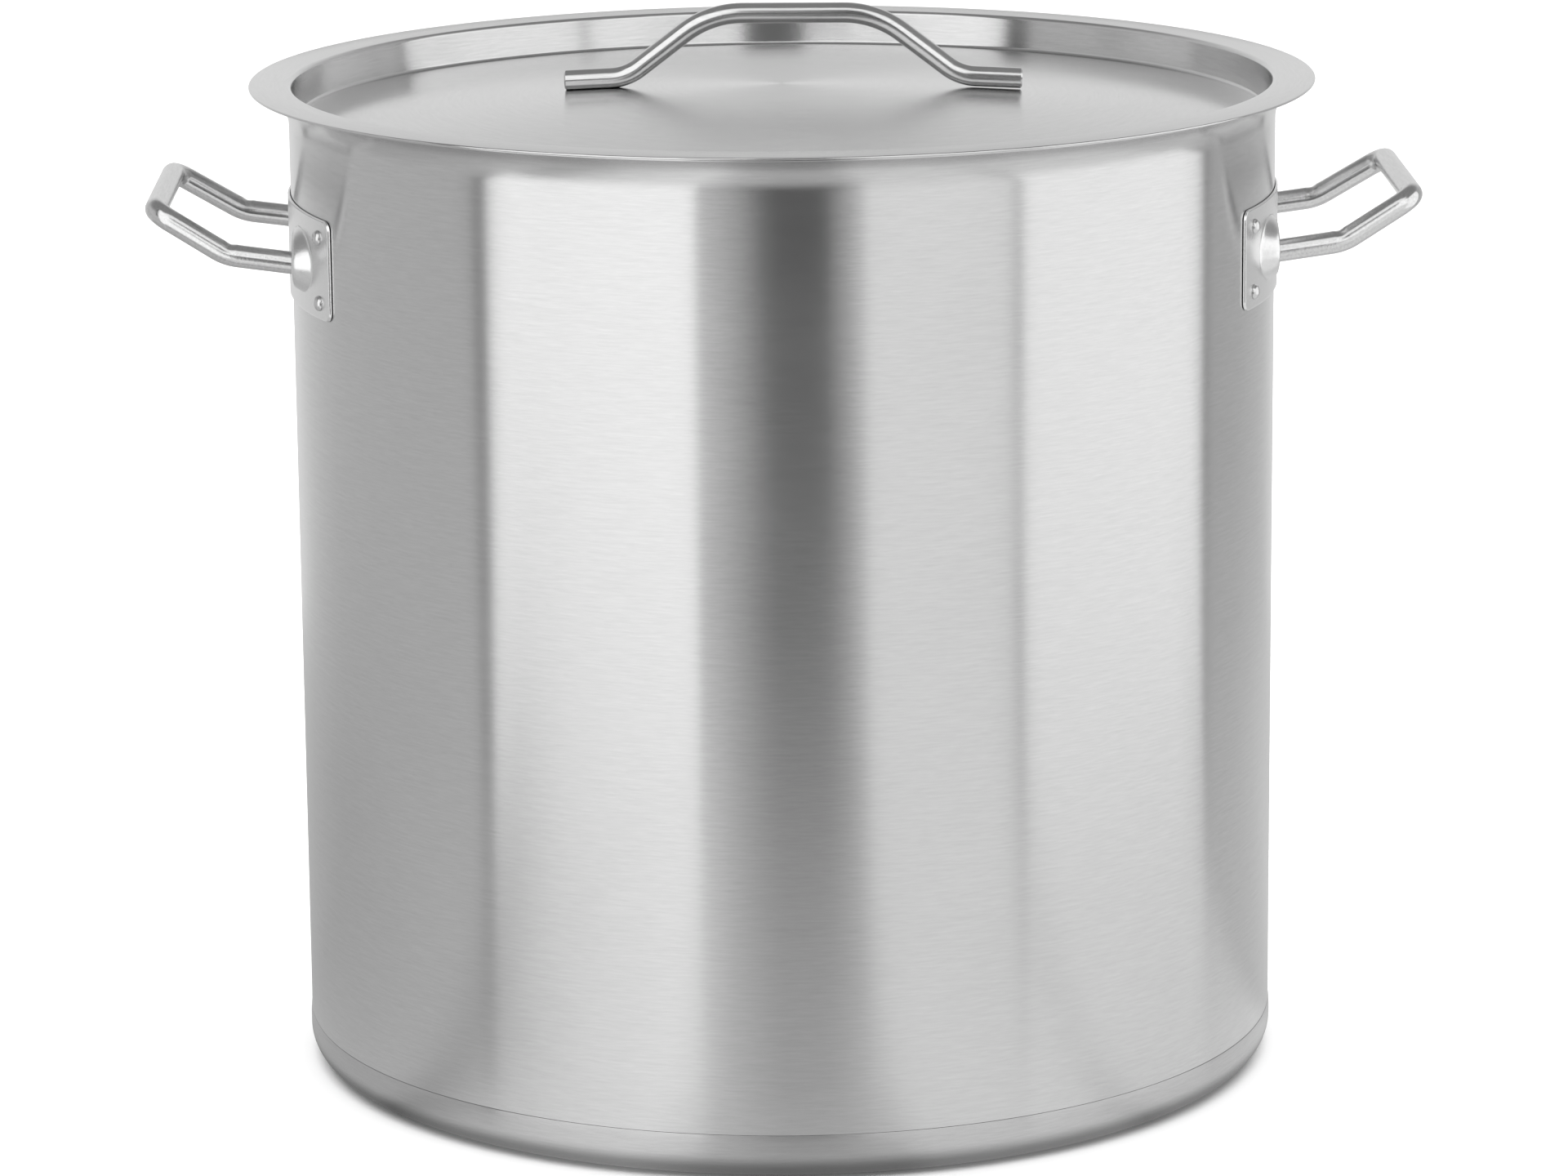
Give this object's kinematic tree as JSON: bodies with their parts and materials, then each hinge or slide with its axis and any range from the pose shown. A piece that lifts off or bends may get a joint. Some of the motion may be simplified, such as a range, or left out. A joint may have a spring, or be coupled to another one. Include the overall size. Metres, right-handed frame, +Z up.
{
  "type": "stock pot",
  "caption": "Tall straight-sided stainless steel stock pot with sandwich base, riveted tube side handles and a recessed lift-off lid with a bent rod handle.",
  "frame": {"origin": "middle of the underside of the base, on the surface the pot stands on", "axes": "+Z is up along the pot's axis, +X points to the right side handle and -X to the left one, +Y points to the back"},
  "size_m": [0.5146, 0.4336, 0.4369],
  "materials": {
    "body_steel": "satin, brushed round the pot",
    "base_steel": "satin, brushed round the base",
    "core_aluminium": "plain mill finish, sealed inside the base",
    "bracket_steel": "tumbled bright",
    "handle_steel": "semi-polished, finely grained",
    "rivet_steel": "tumbled bright",
    "lid_steel": "satin, spun in rings round the lid's middle"
  },
  "bodies": {
    "pot": {"pot_body": "body_steel", "base_core": "core_aluminium", "base_cap": "base_steel", "left_handle_bracket": "bracket_steel", "left_handle_tube": "handle_steel", "left_rivet_1": "rivet_steel", "left_rivet_2": "rivet_steel", "left_rivet_3": "rivet_steel", "left_rivet_4": "rivet_steel", "right_handle_bracket": "bracket_steel", "right_handle_tube": "handle_steel", "right_rivet_1": "rivet_steel", "right_rivet_2": "rivet_steel", "right_rivet_3": "rivet_steel", "right_rivet_4": "rivet_steel"},
    "lid": {"lid_pan": "lid_steel", "lid_handle": "handle_steel"}
  },
  "joints": [
    {"name": "lid_lift", "type": "slide", "parent": "pot", "child": "lid", "axis": [0, 0, 1], "range_m": [0, 0.2]}
  ]
}
